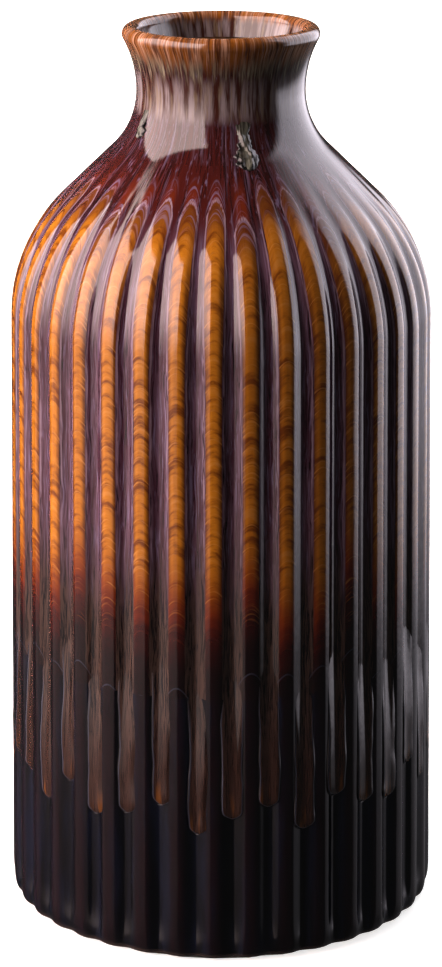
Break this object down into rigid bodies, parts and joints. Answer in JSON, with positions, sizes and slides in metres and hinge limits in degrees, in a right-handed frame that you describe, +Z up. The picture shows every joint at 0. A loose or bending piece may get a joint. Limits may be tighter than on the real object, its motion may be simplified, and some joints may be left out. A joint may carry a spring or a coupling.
{
  "type": "stoneware pottery vase",
  "caption": "Ribbed bottle vase in glazed stoneware: straight fluted body, rounded shoulder, short narrow neck with a flared rolled lip. Holds flowers or stands as decoration.",
  "frame": {"origin": "centre of the resting face, at the bottom of the foot ring", "axes": "+Z up the axis of the vase towards the mouth, one rib crest faces -Y"},
  "size_m": [0.145, 0.1449, 0.3],
  "materials": {
    "stoneware": "unglazed fired stoneware, matt",
    "liner_glaze": "high gloss, grey lavender over maroon",
    "dark_glaze": "high gloss, blue black",
    "amber_plum_glaze": "high gloss, amber on the ribs and plum in the flutes",
    "streaked_glaze": "high gloss, maroon with cream streaks, amber lip",
    "run_glaze": "high gloss, translucent brown runs",
    "crawled_glaze": "high gloss, grey green beige with dark pitted edges"
  },
  "bodies": {
    "root": {"clay_body": "stoneware", "clay_shoulder": "stoneware", "clay_neck": "stoneware", "liner_glaze": "liner_glaze", "base_glaze": "dark_glaze", "body_glaze": "amber_plum_glaze", "neck_glaze": "streaked_glaze", "glaze_runs": "run_glaze", "neck_runs": "crawled_glaze"}
  },
  "joints": []
}
